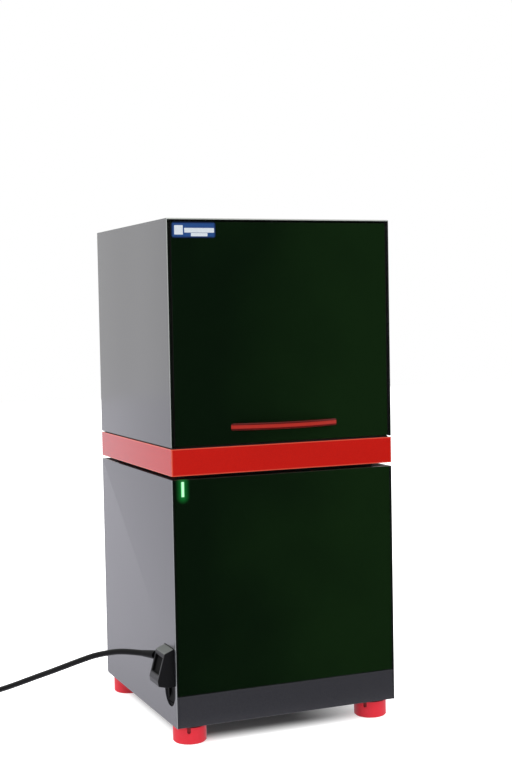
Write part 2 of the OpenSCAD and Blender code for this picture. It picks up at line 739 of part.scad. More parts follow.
module grip_strip() {
    half = asin(grip_l / 2 / grip_R);
    color("#d62a1e") intersection() {
        translate([0, door_front - grip_out + grip_R, grip_c]) rotate(-90 - half)
            rotate_extrude(angle = 2 * half, $fn = 360)
            translate([grip_R - grip_t / 2, 0]) soft_rect(grip_t, grip_h, 1.4);
        translate([-grip_l, door_front - grip_out - cut, grip_c - grip_h])
            cube([2 * grip_l, grip_out + cut, 2 * grip_h]);
    }
}
module lid_carriage() {
    color("#9fa2a7") difference() {
        union() {
            translate([-rod_x - carriage_rim, block_c - block_d / 2 - carriage_lap, carriage_z])
                cube([2 * (rod_x + carriage_rim),
                    rod_y + carriage_tail - block_c + block_d / 2 + carriage_lap, carriage_t]);
            for (s = [-1, 1]) translate([s * rod_x, rod_y, carriage_z])
                cylinder(d = bush_d, h = bush_h, $fn = fine);
            translate([0, rod_y, carriage_z]) cylinder(r = screw_d / 2 + nut_wall, h = nut_h, $fn = fine);
            for (sx = [-1, 1], sy = [-1, 1])
                translate([pulley_x + sx * 12, belt_y + sy * 12, on_carriage - cut])
                cylinder(r = 2, h = pulley_z + pulley_h + 4 - on_carriage + cut, $fn = 16);
        }
        translate([-block_w / 2 + 6, block_c - block_d / 2 + 4, carriage_z - cut])
            cube([block_w - 12, block_d - 8, carriage_t + 2 * cut]);
        for (s = [-1, 1]) translate([s * rod_x, rod_y, carriage_z - cut])
            cylinder(r = rod_d / 2 + run_fit, h = bush_h + 2 * cut, $fn = fine);
        translate([0, rod_y, carriage_z - cut]) cylinder(d = screw_d, h = nut_h + 2 * cut, $fn = fine);
    }
    color("silver") translate([-pulley_x, belt_y, on_carriage - cut])
        cylinder(r = 2, h = pulley_z + pulley_h - on_carriage + cut + 1, $fn = 24);
}
module lid_plate() {
    color("#c4c6c9") difference() {
        translate([-block_w / 2, block_c - block_d / 2, lid_z]) cube([block_w, block_d, lid_t]);
        for (i = [0:well_cols - 1], j = [0:well_rows - 1])
            translate([(i - (well_cols - 1) / 2) * well_pitch,
                block_c + (j - (well_rows - 1) / 2) * well_pitch, lid_z - cut])
                cylinder(r = 2.2, h = lid_t + 2 * cut, $fn = 16);
    }
}
module lift_screw() {
    color("#caccd0") translate([0, rod_y, carriage_z])
        cylinder(d = screw_d, h = roof_z - 5 - carriage_z, $fn = fine);
}
module shuttle_rail() {
    color("#d3d5d8") translate([-rail_l / 2, rail_y - rail_w / 2, on_carriage])
        cube([rail_l, rail_w, rail_h]);
}
module shuttle_motor() {
    color("#35363a") translate([pulley_x, belt_y, pulley_z + pulley_h + 4]) {
        linear_extrude(30) soft_rect(small_motor, small_motor, 3);
        translate([0, 0, -pulley_h - 4]) cylinder(r = 2, h = pulley_h + 5, $fn = 24);
    }
}
module shuttle_head() {
    color("#2b2d31") {
        translate([-head_w / 2, block_c - head_l / 2, on_carriage + 2.5]) cube([head_w, head_l, 18]);
        translate([-head_w / 2 - 4, block_c + head_l / 2 - 2, on_carriage + rail_h + 1])
            cube([head_w + 8, belt_front - hair - block_c - head_l / 2 + 2, 9]);
        translate([-head_w / 2 - 4, rail_y - rail_w / 2 - 4 - hair, on_carriage + 1.5])
            cube([head_w + 8, 4, rail_h + 4]);
    }
    color("#d8b04a") for (j = [0:well_rows - 1])
        translate([0, block_c + (j - (well_rows - 1) / 2) * well_pitch, on_carriage + 1])
            cylinder(r = 2.5, h = 26, $fn = 24);
}
module pulley() {
    difference() {
        union() {
            cylinder(r = pulley_r, h = pulley_h, $fn = fine);
            cylinder(r = pulley_r + 1.4, h = 0.8, $fn = fine);
        }
        translate([0, 0, -cut]) cylinder(r = 2 + run_fit, h = pulley_h + 2 * cut, $fn = 24);
    }
}
module drive_pulley() { color("#b3b6ba") translate([pulley_x, belt_y, pulley_z]) pulley(); }
module idler_pulley() { color("#b3b6ba") translate([-pulley_x, belt_y, pulley_z]) pulley(); }
module belt_outline(r) {
    square([2 * pulley_x, 2 * r], center = true);
    for (s = [-1, 1]) translate([s * pulley_x, 0]) circle(r = r, $fn = fine);
}
module shuttle_belt() {
    color("#1a1a1a") translate([0, belt_y, pulley_z + 1.2]) linear_extrude(6) difference() {
        belt_outline(pulley_r + belt_fit + belt_t);
        belt_outline(pulley_r + belt_fit);
    }
}
module casing_screws() {
    color("#2a2a2d") intersection() {
        casing_holes([base_z + 14, lower_top - 14, hood_z + 14, top_z - 14], 3 - run_fit);
        translate([left, rear - sheet_t - 6, 0]) cube([body_w, sheet_t + 6, top_z]);
    }
}

// Mains lead: the finger recess lies in the connector's sloping outer face
module finger_recess() {
    along = unit(plug_toe - plug_shoulder);
    out = [along[1], -along[0]];
    polygon([for (p = [[recess_from, cut], [recess_to, cut], [recess_to - 1.5, -recess_deep],
        [recess_from + 1.5, -recess_deep]]) plug_shoulder + p[0] * along + p[1] * out]);
}
module mains_connector() {
    color("#18181a") {
        translate([left, slot_y + plug_shift, 0]) rotate([90, 0, 0]) difference() {
            linear_extrude(plug_w, center = true)
                polygon([[inlet_in - hair, slot_top - 1.5], [0, slot_top - 1], plug_shoulder, plug_toe,
                    [-18, slot_top - 41], [-10, slot_top - 43], [inlet_in - hair, slot_top - 43]]);
            linear_extrude(plug_w - 2 * plug_rim, center = true) finger_recess();
        }
        difference() {
            translate([left + inlet_in - hair - cut, slot_y - socket_w / 2 + socket_fit,
                socket_z - socket_h / 2 + socket_fit])
                cube([socket_depth - 1 + cut, socket_w - 2 * socket_fit, socket_h - 2 * socket_fit]);
            for (s = [-1, 0, 1])
                translate([left + inlet_in + 2, slot_y + s * blade_gap - blade[0] / 2 - hair,
                    socket_z - blade[1] / 2 + (s == 0 ? 2 : -2) - hair])
                    cube([socket_depth, blade[0] + 2 * hair, blade[1] + 2 * hair]);
        }
    }
}
function unit(v) = v / norm(v);
module strain_relief() {
    d = unit(relief_to - relief_at);
    color("#18181a") difference() {
        translate(relief_at) rotate([0, acos(d[2]), atan2(d[1], d[0])]) {
            translate([0, 0, -5]) cylinder(r = 5.2, h = 5, $fn = 32);
            cylinder(r1 = 5.2, r2 = cord_d / 2 + 0.3, h = relief_l, $fn = 32);
        }
        translate([relief_at[0] - 20, plug_rear - 20, relief_at[2] - 20]) cube([40, 20, 40]);
    }
}
// Points of a smooth curve through the list p
function spline_point(p, i, t)
    = let (a = p[max(i - 1, 0)], b = p[i], c = p[i + 1], d = p[min(i + 2, len(p) - 1)])
    0.5 * ((2 * b) + (c - a) * t + (2 * a - 5 * b + 4 * c - d) * t * t + (3 * b - a - 3 * c + d) * t * t * t);
function smooth(p)
    = [for (i = [0:len(p) - 2], k = [0:cord_steps - 1]) spline_point(p, i, k / cord_steps),
    p[len(p) - 1]];
module tube(path, r, sides) {
    n = len(path);
    rings = [for (i = [0:n - 1]) let (t = unit(path[min(i + 1, n - 1)] - path[max(i - 1, 0)]),
        u = unit(cross([0, 0, 1], t)), v = cross(t, u))
        for (k = [0:sides - 1]) path[i] + r * (cos(k * 360 / sides) * u + sin(k * 360 / sides) * v)];
    skin = [for (i = [0:n - 2], k = [0:sides - 1]) let (a = i * sides + k,
        b = i * sides + (k + 1) % sides) each [[a, a + sides, b], [b, a + sides, b + sides]]];
    polyhedron(rings,
        concat(skin, [[for (k = [0:sides - 1]) k]], [[for (k = [0:sides - 1]) n * sides - 1 - k]]));
}
module mains_cord() {
    color("#101012") {
        tube(smooth(run_points), cord_d / 2, cord_sides);
        tube(smooth(tail_points), cord_d / 2, cord_sides);
    }
}
module cord_coil() {
    color("#101012") translate([coil_at[0], coil_at[1], 0]) ring(coil_out, coil_in, cord_d * coil_rows);
}
module mains_plug() {
    color("#18181a") translate([plug_x, plug_y, plug_r]) rotate([90, 0, 0]) {
        translate([0, 0, -14]) cylinder(r1 = cord_d / 2 + 0.4, r2 = 6, h = 14, $fn = 32);
        cylinder(r1 = 9, r2 = plug_r, h = 8, $fn = fine);
        translate([0, 0, 8]) cylinder(r = plug_r, h = 22, $fn = fine);
    }
    color("silver") translate([plug_x, plug_y - 30 + cut, plug_r]) {
        for (s = [-1, 1]) translate([s * 6.3 - 0.8, -18 - cut, -3.2 + 2]) cube([1.6, 18 + cut, 6.4]);
        translate([0, 0, -6.5]) rotate([90, 0, 0]) cylinder(r = 2.4, h = 21, $fn = 24);
    }
}

base_plate();
lower_casing();
base_strip();
lower_glass();
status_light();
lower_deck();
neck();
band();
deck();
hood();
foot_front_left();
foot_front_right();
foot_rear_left();
foot_rear_right();
foot_screws();
power_inlet();
rocker_switch();
data_socket();
heat_sink();
peltier_modules();
sample_block();
block_seal();
block_fan_frame();
block_fan_rotor();
rear_fan_frame();
rear_fan_rotor();
rear_fan_guard();
power_supply();
main_board();
gantry();
guide_rods();
lift_motor();
wheel_motor();
filter_wheel();
lamp_module();
detector();
hinge_studs();
door_catch();
door_frame();
door_glass();
grip_strip();
lid_carriage();
lid_plate();
lift_screw();
shuttle_rail();
shuttle_motor();
shuttle_head();
drive_pulley();
idler_pulley();
shuttle_belt();
casing_screws();
mains_connector();
strain_relief();
mains_cord();
cord_coil();
mains_plug();
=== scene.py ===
"""Looks of an upright real-time PCR system over its CAD model. Metres, +Z up, front towards -Y."""

import math

import bmesh
import bpy
import numpy as np
from mathutils import Matrix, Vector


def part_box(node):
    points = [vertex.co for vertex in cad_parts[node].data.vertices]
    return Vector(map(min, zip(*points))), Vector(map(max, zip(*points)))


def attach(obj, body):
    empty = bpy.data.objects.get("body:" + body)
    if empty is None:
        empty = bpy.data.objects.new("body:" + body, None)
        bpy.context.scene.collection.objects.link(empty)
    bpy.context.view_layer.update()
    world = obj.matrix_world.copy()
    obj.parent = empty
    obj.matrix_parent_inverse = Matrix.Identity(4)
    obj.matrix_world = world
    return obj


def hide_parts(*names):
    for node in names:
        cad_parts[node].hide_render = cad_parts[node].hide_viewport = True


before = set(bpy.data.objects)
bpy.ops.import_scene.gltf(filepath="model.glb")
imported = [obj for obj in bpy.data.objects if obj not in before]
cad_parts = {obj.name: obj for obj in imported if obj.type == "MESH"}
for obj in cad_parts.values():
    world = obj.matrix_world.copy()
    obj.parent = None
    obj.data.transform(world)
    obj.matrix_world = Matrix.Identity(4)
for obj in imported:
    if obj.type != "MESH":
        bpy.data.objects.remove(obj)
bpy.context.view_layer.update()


# Base plate, decks and neck: sheet steel, folded and spot welded, under a matt black powder coat.
# Powder melts into a fine pebbled skin, so its light is soft and it shows no clear reflection.
def linear(code):
    """A hex colour of the screen, such as 'b41c05', as linear red, green and blue, and an alpha of 1."""
    parts = [int(code[i : i + 2], 16) / 255 for i in (0, 2, 4)]
    return [c / 12.92 if c < 0.04045 else ((c + 0.055) / 1.055) ** 2.4 for c in parts] + [1.0]


def add_node(tree, kind, inputs=None, **settings):
    """Adds a shader node; settings are its properties, inputs are values or sockets by name or number."""
    made = tree.nodes.new("ShaderNode" + kind)
    for name, value in settings.items():
        setattr(made, name, value)
    for name, value in (inputs or {}).items():
        if isinstance(value, bpy.types.NodeSocket):
            tree.links.new(value, made.inputs[name])
        else:
            made.inputs[name].default_value = value
    return made


def new_finish(name):
    """An empty material and its node tree."""
    made = bpy.data.materials.new(name)
    made.use_nodes = True
    made.node_tree.nodes.clear()
    return made, made.node_tree


def two_tone(tree, value, low, high, start=0.3, stop=0.7):
    """A colour that runs from low to high as the value goes from start to stop."""
    ramp = add_node(tree, "ValToRGB", {"Fac": value})
    ends = ramp.color_ramp.elements
    ends[0].position, ends[0].color = start, linear(low)
    ends[1].position, ends[1].color = stop, linear(high)
    return ramp.outputs["Color"]


def noise(tree, place, scale, detail):
    """Grey clouds about one over scale metres wide, with finer clouds on them."""
    return add_node(tree, "TexNoise", {"Vector": place, "Scale": scale, "Detail": detail}).outputs["Fac"]


def bumps(tree, height, strength, distance):
    """A skin that rises by distance in metres, where height goes from 0 to 1."""
    made = add_node(tree, "Bump", {"Height": height, "Strength": strength, "Distance": distance})
    return made.outputs["Normal"]


def shaded(tree, **sockets):
    """Ends the tree with one principled shader; a name such as Base_Color means the socket Base Color."""
    inputs = {name.replace("_", " "): value for name, value in sockets.items()}
    shader = add_node(tree, "BsdfPrincipled", inputs)
    add_node(tree, "OutputMaterial", {"Surface": shader.outputs["BSDF"]})


def dress(material, *cad_nodes):
    """Gives CAD nodes this material alone."""
    for name in cad_nodes:
        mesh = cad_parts[name].data
        mesh.materials.clear()
        mesh.materials.append(material)


# powder grains melt to bumps about 1 mm apart
powder_coat, tree = new_finish("matt_black_powder_coat")
place = add_node(tree, "TexCoord").outputs["Object"]
pebbles = noise(tree, place, 900.0, 3.0)
skin = bumps(tree, pebbles, 0.35, 0.00006)
shaded(
    tree,
    Base_Color=two_tone(tree, pebbles, "1d1d1f", "28282b"),
    Roughness=0.62,
    Normal=skin,
)
dress(powder_coat, "base_plate", "lower_deck", "neck", "deck")


# Lower casing, base strip and hood: bent sheet steel, sprayed anthracite and stoved to a half gloss.
# The lacquer flows out to a faint orange peel, rounds every edge, and mirrors the room along its face.
def eased_copy(node, name, material, width, steps=2):
    """A copy of a CAD node, its triangles joined, its flat faces whole and its sharp edges rounded."""
    flat = math.radians(0.5)
    smooth_below = math.radians(35)
    round_above = math.radians(50)
    shape = bmesh.new()
    shape.from_mesh(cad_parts[node].data)
    bmesh.ops.remove_doubles(shape, verts=shape.verts, dist=1e-6)
    bmesh.ops.dissolve_limit(shape, angle_limit=flat, verts=shape.verts, edges=shape.edges)
    mesh = bpy.data.meshes.new(name)
    shape.to_mesh(mesh)
    shape.free()
    mesh.polygons.foreach_set("use_smooth", [True] * len(mesh.polygons))
    mesh.set_sharp_from_angle(angle=smooth_below)
    mesh.materials.clear()
    mesh.materials.append(material)
    made = bpy.data.objects.new(name, mesh)
    bpy.context.scene.collection.objects.link(made)
    bevel = made.modifiers.new("eased_edges", "BEVEL")
    bevel.width = width
    bevel.segments = steps
    bevel.limit_method = "ANGLE"
    bevel.angle_limit = round_above
    bevel.harden_normals = True
    return made


def fit(piece, body, slot, *replaced):
    """The piece moves with a body and stands for the CAD nodes named last, which it hides; the slot is not
    used.
    """
    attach(piece, body)
    if replaced:
        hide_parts(*replaced)


def blend(tree, factor, low, high):
    """One colour where the factor is 0, another where it is 1; each is a hex colour or a socket."""
    made = add_node(tree, "Mix", {"Factor": factor}, data_type="RGBA")
    for port, colour in ((6, low), (7, high)):
        if isinstance(colour, str):
            made.inputs[port].default_value = linear(colour)
        else:
            tree.links.new(colour, made.inputs[port])
    return made.outputs[2]


def maths(tree, operation, first, second=None):
    """One sum on two values or sockets."""
    inputs = {0: first} if second is None else {0: first, 1: second}
    return add_node(tree, "Math", inputs, operation=operation).outputs[0]


def split(tree, place):
    """The X, Y and Z of a place, as sockets by name."""
    return add_node(tree, "SeparateXYZ", {"Vector": place}).outputs


# peel: waves 2 to 3 mm long; flake: pigment grains, drawn at 0.7 mm so that they show
# the front edges round the glass are drawn near black; outside them, on the side edges, a narrow band of
# light bare metal is a painted highlight;
# along the top of the hood's front, a light edge is a painted highlight
front_edge = 0.0012
lip_depth = 0.0004
side_edge_highlight_width = 0.0005
top_edge_highlight_height = 0.0013
strip_gap = 0.0005
lacquer, tree = new_finish("anthracite_stoving_lacquer")
place = add_node(tree, "TexCoord").outputs["Object"]
flake = noise(tree, place, 1400.0, 2.0)
peel = noise(tree, place, 420.0, 1.0)
skin = bumps(tree, peel, 0.25, 0.00003)
low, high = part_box("hood")
parts = split(tree, place)
at_front = maths(tree, "LESS_THAN", parts["Y"], low[1] + front_edge)
at_side = maths(tree, "GREATER_THAN", maths(tree, "ABSOLUTE", parts["X"]), high[0] - side_edge_highlight_width)
at_top = maths(tree, "GREATER_THAN", parts["Z"], high[2] - top_edge_highlight_height)
side_edge_highlight = maths(tree, "MULTIPLY", at_front, at_side)
top_edge_highlight = maths(tree, "MULTIPLY", at_front, at_top)
above_strip = maths(tree, "GREATER_THAN", parts["Z"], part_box("base_strip")[1][2] + strip_gap)
# the front edges round the glass, above the base strip, are drawn near black like the glass
lip = maths(tree, "MULTIPLY", maths(tree, "LESS_THAN", parts["Y"], low[1] + lip_depth), above_strip)
colour = blend(tree, lip, two_tone(tree, flake, "36363c", "404046"), "0a140b")
shaded(
    tree,
    # light grey on the side and top front edges: painted highlights
    Base_Color=blend(tree, side_edge_highlight, blend(tree, top_edge_highlight, colour, "c6cac6"), "bcc0bd"),
    Metallic=side_edge_highlight,
    Roughness=0.27,
    IOR=1.6,
    Coat_Weight=0.55,
    Coat_Roughness=0.1,
    Normal=skin,
)
for node, name, width in (
    ("lower_casing", "casing_sheet", 0.0012),
    ("hood", "hood_sheet", 0.0012),
    ("base_strip", "base_strip_sheet", 0.0005),
):
    fit(eased_copy(node, name, lacquer, width), "housing", "lacquered_sheet", node)


# Feet: short round pucks moulded in red elastomer, each with a grip notch, held by a screw from below.
# The rubber is dense and a little translucent, with a satin skin off the mould; the notch is drawn darker
# red as painted shade.
def distance(tree, x, y):
    """The length of two steps at right angles: the root of the sum of their squares."""
    both = add_node(tree, "CombineXYZ", {"X": x, "Y": y}).outputs[0]
    return add_node(tree, "VectorMath", {0: both}, operation="LENGTH").outputs["Value"]


elastomer, tree = new_finish("moulded_red_elastomer")
place = add_node(tree, "TexCoord").outputs["Object"]
grain = noise(tree, place, 1100.0, 2.0)
skin = bumps(tree, grain, 0.3, 0.00005)
low, high = (np.array(v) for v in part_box("foot_front_left"))
foot_r = (high[0] - low[0]) / 2
rear_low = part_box("foot_rear_left")[0]
centre_x = abs(low[0] + foot_r)
centre_y = (low[1] + rear_low[1]) / 2 + foot_r
parts = split(tree, place)
off_x = maths(tree, "SUBTRACT", maths(tree, "ABSOLUTE", parts["X"]), centre_x)
off_y = maths(tree, "ABSOLUTE", maths(tree, "SUBTRACT", parts["Y"], centre_y))
off_y = maths(tree, "SUBTRACT", off_y, (rear_low[1] - low[1]) / 2)
off = distance(tree, off_x, off_y)
notch_depth = 0.0003
notch_height = 0.0095
below_top = 0.0001
# painted shade: the inside of the notch is drawn darker red
notch = maths(tree, "LESS_THAN", off, foot_r - notch_depth)
for test, height in (("GREATER_THAN", high[2] - notch_height), ("LESS_THAN", high[2] - below_top)):
    notch = maths(tree, "MULTIPLY", notch, maths(tree, test, parts["Z"], height))
shaded(
    tree,
    Base_Color=blend(tree, notch, two_tone(tree, grain, "fd2236", "ff3046"), "a01420"),
    Roughness=0.42,
    Subsurface_Weight=0.1,
    Subsurface_Scale=0.003,
    Subsurface_Radius=(1.0, 0.2, 0.15),
    Normal=skin,
)
dress(elastomer, "foot_front_left", "foot_front_right", "foot_rear_left", "foot_rear_right")


# Steel pieces: foot screws, guide rods, rail, pulleys, guard, hinge studs and data socket, turned or drawn.
# Fine drawing marks run along the length and break the mirror into streaks.
def ranged(tree, value, **ends):
    """A value stretched evenly and held between ends such as To_Min and To_Max, else 0 and 1."""
    inputs = {name.replace("_", " "): end for name, end in ends.items()}
    return add_node(tree, "MapRange", {"Value": value, **inputs}).outputs["Result"]


steel, tree = new_finish("drawn_bright_steel")
place = add_node(tree, "TexCoord").outputs["Object"]
along = add_node(tree, "Mapping", {"Vector": place, "Scale": (2600.0, 2600.0, 90.0)}).outputs["Vector"]
marks = noise(tree, along, 1.0, 2.0)
rough = ranged(tree, marks, To_Min=0.18, To_Max=0.34)
skin = bumps(tree, marks, 0.15, 0.00002)
shaded(
    tree,
    Base_Color=two_tone(tree, marks, "b6b9bc", "cfd1d3"),
    Metallic=1.0,
    Roughness=rough,
    Normal=skin,
)
dress(steel, "foot_screws", "guide_rods", "shuttle_rail", "drive_pulley", "idler_pulley", "rear_fan_guard")
dress(steel, "hinge_studs", "data_socket")


# Power supply: a folded box of zinc-plated sheet with cooling slots.
# Hot zinc freezes in flat crystals about 10 mm across, each a slightly different grey.
zinc, tree = new_finish("zinc_plated_sheet")
place = add_node(tree, "TexCoord").outputs["Object"]
crystals = add_node(tree, "TexVoronoi", {"Vector": place, "Scale": 100.0}).outputs["Color"]
shaded(
    tree,
    Base_Color=two_tone(tree, crystals, "8f9295", "b3b6b9", 0.1, 0.9),
    Metallic=1.0,
    Roughness=0.4,
)
dress(zinc, "power_supply")


# Main board: glass-fibre laminate under green solder mask, with black chips on one side.
# Copper tracks lie under the mask as a lighter green in straight runs.
# The stand-offs behind the board are plated steel.
board_face = 0.1215
board_thickness = 0.0016
hair = 0.0001
board, tree = new_finish("solder_mask_and_chips")
place = add_node(tree, "TexCoord").outputs["Object"]
tracks = add_node(tree, "TexBrick", {"Vector": place, "Scale": 60.0, "Mortar Size": 0.03}, squash=0.6)
tracks.inputs["Color1"].default_value = linear("16502c")
tracks.inputs["Color2"].default_value = linear("1a5a33")
tracks.inputs["Mortar"].default_value = linear("2f7a49")
turned = add_node(tree, "Mapping", {"Vector": place, "Rotation": (0.0, math.pi / 2, 0.0)})
tree.links.new(turned.outputs["Vector"], tracks.inputs["Vector"])
across = split(tree, place)["X"]
chip = maths(tree, "LESS_THAN", across, board_face - hair)
holder = maths(tree, "GREATER_THAN", across, board_face + board_thickness + hair)
coloured = blend(tree, chip, tracks.outputs["Color"], "161618")
plated = blend(tree, holder, coloured, "b4b6b9")
shaded(tree, Base_Color=plated, Metallic=holder, Roughness=0.35)
dress(board, "main_board")


# Heat sink, sample block, heated plate, lid carriage and gantry: aluminium, extruded or milled, bare.
# The cutter leaves fine parallel lines, so the light spreads across them.
aluminium, tree = new_finish("milled_aluminium")
place = add_node(tree, "TexCoord").outputs["Object"]
along = add_node(tree, "Mapping", {"Vector": place, "Scale": (60.0, 1800.0, 1800.0)}).outputs["Vector"]
lines = noise(tree, along, 1.0, 3.0)
rough = ranged(tree, lines, To_Min=0.28, To_Max=0.46)
skin = bumps(tree, lines, 0.2, 0.00002)
shaded(
    tree,
    Base_Color=two_tone(tree, lines, "bcbec1", "d4d6d8"),
    Metallic=1.0,
    Roughness=rough,
    Normal=skin,
)
dress(aluminium, "heat_sink", "sample_block", "lid_plate", "lid_carriage", "gantry")


# Peltier modules: thin alumina plates over rows of pellets, pressed and fired, chalk white.
# The ceramic is fine and dull, with faint grey specks of the press.
alumina, tree = new_finish("fired_alumina")
place = add_node(tree, "TexCoord").outputs["Object"]
specks = noise(tree, place, 700.0, 4.0)
shaded(tree, Base_Color=two_tone(tree, specks, "dcd9cf", "eceae3"), Roughness=0.7)
dress(alumina, "peltier_modules")


# Fans, inlet, rocker key, catch and shuttle head: black glass-filled plastic, injection moulded.
# The eroded mould gives it a fine leather-like grain and a satin look.
moulding, tree = new_finish("moulded_black_plastic")
place = add_node(tree, "TexCoord").outputs["Object"]
grain = noise(tree, place, 1500.0, 2.0)
skin = bumps(tree, grain, 0.25, 0.00004)
shaded(
    tree,
    Base_Color=two_tone(tree, grain, "0e0e10", "161618"),
    Roughness=0.5,
    IOR=1.35,
    Normal=skin,
)
dress(moulding, "block_fan_frame", "block_fan_rotor", "rear_fan_frame", "rear_fan_rotor")
dress(moulding, "door_catch", "shuttle_head")

# the inlet and the key sit deep in their slot; they are drawn a darker black with a coarser grain, dull and
# with a weak reflection, as painted shade
inlet_finish, tree = new_finish("black_plastic_shaded_in_slot")
place = add_node(tree, "TexCoord").outputs["Object"]
grain = noise(tree, place, 1100.0, 2.0)
skin = bumps(tree, grain, 0.3, 0.00005)
shaded(
    tree,
    Base_Color=two_tone(tree, grain, "070708", "0d0d0f"),
    Roughness=0.65,
    Specular_IOR_Level=0.12,
    Normal=skin,
)
dress(inlet_finish, "power_inlet", "rocker_switch")


# Seal round the block and toothed belt: black rubber, extruded or moulded.
# It is dead matt, with a dusty grey bloom on its skin.
rubber, tree = new_finish("black_rubber")
place = add_node(tree, "TexCoord").outputs["Object"]
bloom = noise(tree, place, 160.0, 4.0)
shaded(tree, Base_Color=two_tone(tree, bloom, "131314", "232324"), Roughness=0.75)
dress(rubber, "block_seal", "shuttle_belt")


# Band and grip strip: aluminium under a gloss red lacquer with a clear top layer.
# Full red where it faces a dark room, and pink where it is seen along its face.
red_lacquer, tree = new_finish("gloss_red_lacquer")
place = add_node(tree, "TexCoord").outputs["Object"]
flake = noise(tree, place, 1300.0, 2.0)
peel = noise(tree, place, 420.0, 1.0)
skin = bumps(tree, peel, 0.2, 0.00003)
low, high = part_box("band")
parts = split(tree, place)
from_middle = maths(tree, "ABSOLUTE", maths(tree, "SUBTRACT", parts["Z"], (low[2] + high[2]) / 2))
level_width = 0.0011
side_width = 0.0012
front_width = 0.0014
# painted highlight: the band's upper and lower edges and its front corners are drawn pale red
level_edge_highlight = maths(tree, "GREATER_THAN", from_middle, (high[2] - low[2]) / 2 - level_width)
at_side = maths(tree, "GREATER_THAN", maths(tree, "ABSOLUTE", parts["X"]), high[0] - side_width)
at_front = maths(tree, "LESS_THAN", parts["Y"], low[1] + front_width)
edge = maths(tree, "MAXIMUM", level_edge_highlight, maths(tree, "MULTIPLY", at_side, at_front))
shaded(
    tree,
    Base_Color=blend(tree, edge, two_tone(tree, flake, "c20a00", "d01200"), "e0523c"),
    Roughness=0.22,
    IOR=1.45,
    Coat_Weight=0.35,
    Coat_Roughness=0.06,
    Normal=skin,
)
fit(eased_copy("band", "red_band", red_lacquer, 0.0012), "housing", "red_lacquer", "band")

# the grip's bar is full red along its middle and drawn deep red above and below, a painted shade where its
# faces turn away
grip_finish, tree = new_finish("gloss_red_grip")
place = add_node(tree, "TexCoord").outputs["Object"]
low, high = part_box("grip_strip")
flake = noise(tree, place, 1300.0, 2.0)
parts = split(tree, place)
from_middle = maths(tree, "ABSOLUTE", maths(tree, "SUBTRACT", parts["Z"], (low[2] + high[2]) / 2))
painted_flank_shade = ranged(tree, from_middle, From_Min=0.0016, From_Max=0.0022)
shaded(
    tree,
    Base_Color=blend(tree, painted_flank_shade, two_tone(tree, flake, "b0241a", "be3024"), "600604"),
    Roughness=0.25,
    IOR=1.5,
)
dress(grip_finish, "grip_strip")


# Lift, wheel and shuttle motors: a stack of laminations between end caps, dipped in black lacquer.
# The stack shows as fine level lines 0.5 mm apart, drawn at 1 mm so that they show.
motor_case, tree = new_finish("lacquered_motor_case")
place = add_node(tree, "TexCoord").outputs["Object"]
height = split(tree, place)["Z"]
sheet_step = 0.001
sheets = ranged(tree, maths(tree, "PINGPONG", height, sheet_step), From_Max=sheet_step)
skin = bumps(tree, sheets, 0.3, 0.0001)
shaded(
    tree,
    Base_Color=two_tone(tree, sheets, "1f1f22", "2c2c30"),
    Roughness=0.4,
    Normal=skin,
)
dress(motor_case, "lift_motor", "wheel_motor", "shuttle_motor")


# Lift screw: a rolled steel spindle with a 2 mm thread, which the motor's nut turns on.
# Its ridge runs round and up, rounded by the rolling dies.
def ring_mesh(name, rings, material):
    """A mesh on rings of points: quads join each ring to the next, and one face closes it at either end."""
    smooth_below = math.radians(40)
    rows, cols = rings.shape[:2]
    i, j = np.meshgrid(np.arange(rows - 1), np.arange(cols), indexing="ij")
    after = (j + 1) % cols
    quads = [i * cols + j, i * cols + after, (i + 1) * cols + after, (i + 1) * cols + j]
    faces = np.stack(quads, -1).reshape(-1, 4).tolist()
    faces += [list(range(cols))[::-1], list(range((rows - 1) * cols, rows * cols))]
    mesh = bpy.data.meshes.new(name)
    mesh.from_pydata(rings.reshape(-1, 3), [], faces)
    mesh.polygons.foreach_set("use_smooth", [True] * len(mesh.polygons))
    mesh.set_sharp_from_angle(angle=smooth_below)
    mesh.materials.append(material)
    made = bpy.data.objects.new(name, mesh)
    bpy.context.scene.collection.objects.link(made)
    return made


low, high = (np.array(v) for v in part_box("lift_screw"))
middle = (low + high) / 2
screw_r = (high[0] - low[0]) / 2
thread_pitch = 0.002
thread_depth = 0.0008
steps_up = 8
steps_round = 24
turns = (high[2] - low[2]) / thread_pitch
up = np.linspace(0, turns, int(turns * steps_up))[:, None]
turn = np.linspace(0, 1, steps_round, endpoint=False)[None, :]
ridge = 0.5 + 0.5 * np.cos(2 * np.pi * (up - turn))
radius = screw_r - thread_depth + thread_depth * ridge
thread = np.stack(
    [
        middle[0] + radius * np.cos(2 * np.pi * turn),
        middle[1] + radius * np.sin(2 * np.pi * turn),
        low[2] + thread_pitch * up + 0 * turn,
    ],
    -1,
)
fit(ring_mesh("threaded_lift_screw", thread, steel), "lid", "steel", "lift_screw")


# Filter wheel, lamp module, detector and door frame: aluminium, black anodised.
# The dyed oxide is satin black with a bronze cast; the wheel holds six coloured interference filters.
anodised, tree = new_finish("black_anodised_aluminium")
place = add_node(tree, "TexCoord").outputs["Object"]
along = add_node(tree, "Mapping", {"Vector": place, "Scale": (70.0, 1700.0, 1700.0)}).outputs["Vector"]
lines = noise(tree, along, 1.0, 2.0)
shaded(
    tree,
    Base_Color=two_tone(tree, lines, "1a1918", "262524"),
    Metallic=0.6,
    Roughness=0.42,
)
dress(anodised, "lamp_module", "detector", "door_frame")

